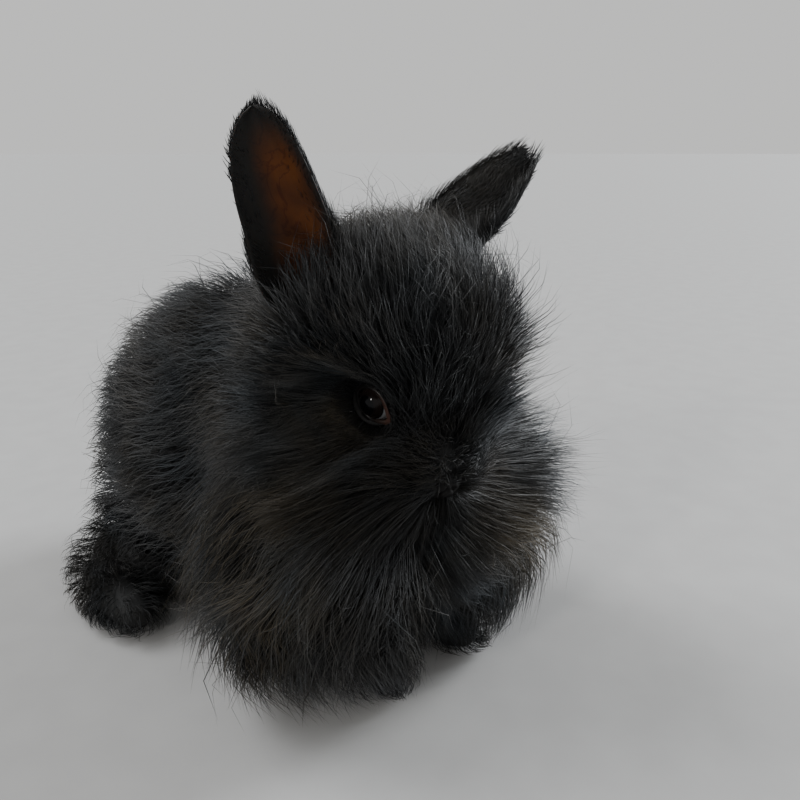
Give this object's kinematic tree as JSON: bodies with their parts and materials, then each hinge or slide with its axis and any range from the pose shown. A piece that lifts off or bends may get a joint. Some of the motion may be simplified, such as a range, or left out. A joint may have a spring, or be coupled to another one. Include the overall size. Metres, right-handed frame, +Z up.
{
  "type": "angora rabbit",
  "caption": "Still model of a young angora rabbit sitting on its four feet, with long dark wool, a round head and upright cupped ears.",
  "frame": {"origin": "middle of the model's plan box, on the floor", "axes": "+Z up, -Y the way the rabbit faces, +X its left side"},
  "size_m": [0.1868, 0.2584, 0.2326],
  "materials": {
    "wool": "long soft charcoal wool in overlapping locks, dull, paler at the tips",
    "face_fur": "short black fur round the eyes, nose and lips",
    "ear_skin": "thin brown skin under short dark fur",
    "foot_fur": "dense short black fur",
    "eye": "wet and glossy, dark brown iris round a black pupil"
  },
  "bodies": {
    "root": {"torso": "wool", "neck": "wool", "head": "face_fur", "ear_right": "ear_skin", "ear_left": "ear_skin", "eye_right": "eye", "eye_left": "eye", "tail": "wool", "foreleg_right": "foot_fur", "foreleg_left": "foot_fur", "hindleg_right": "wool", "hindleg_left": "wool"}
  },
  "joints": []
}
